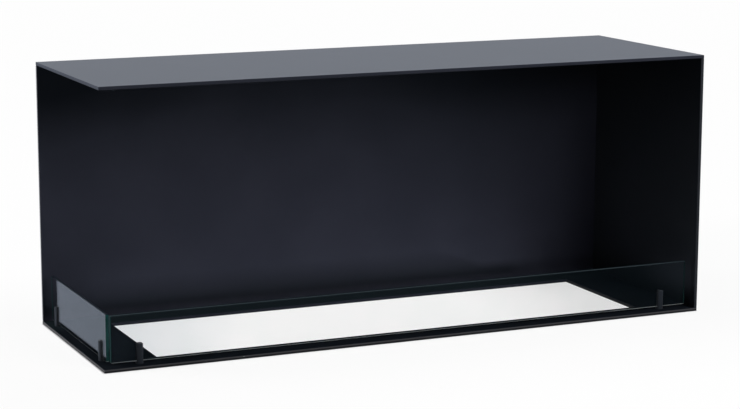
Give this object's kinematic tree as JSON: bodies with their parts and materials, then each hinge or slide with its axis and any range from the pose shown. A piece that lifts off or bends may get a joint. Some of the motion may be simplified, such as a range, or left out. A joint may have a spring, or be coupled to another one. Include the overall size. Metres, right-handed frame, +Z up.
{
  "type": "bioethanol fireplace",
  "caption": "Left-corner bioethanol fireplace casing in black steel: open front and left side, burner cut-out in the base, and low glass panes that lift out of slotted posts.",
  "frame": {"origin": "middle of the casing's footprint, on the surface that it stands on", "axes": "+X along the casing to its closed right side, +Y to its back panel, +Z up"},
  "size_m": [1.2, 0.4, 0.5],
  "materials": {
    "casing_black": "satin powder coat",
    "post_black": "satin powder coat",
    "glass": "clear, green at the edges",
    "liner_silicone": "smoke grey, matt",
    "screw_steel": "zinc plated"
  },
  "bodies": {
    "casing": {"base_plate": "casing_black", "top_plate": "casing_black", "back_panel": "casing_black", "side_panel": "casing_black", "back_top_weld": "casing_black", "back_bottom_weld": "casing_black", "side_panel_weld": "casing_black", "front_left_post": "post_black", "front_right_post": "post_black", "side_front_post": "post_black", "side_rear_post": "post_black", "front_left_liner": "liner_silicone", "front_right_liner": "liner_silicone", "side_front_liner": "liner_silicone", "side_rear_liner": "liner_silicone", "post_screws": "screw_steel"},
    "front_glass": {"front_glass": "glass"},
    "side_glass": {"side_glass": "glass"}
  },
  "joints": [
    {"name": "front_glass_lift", "type": "slide", "parent": "casing", "child": "front_glass", "axis": [0, 0, 1], "range_m": [0, 0.04]},
    {"name": "side_glass_lift", "type": "slide", "parent": "casing", "child": "side_glass", "axis": [0, 0, 1], "range_m": [0, 0.04]}
  ]
}
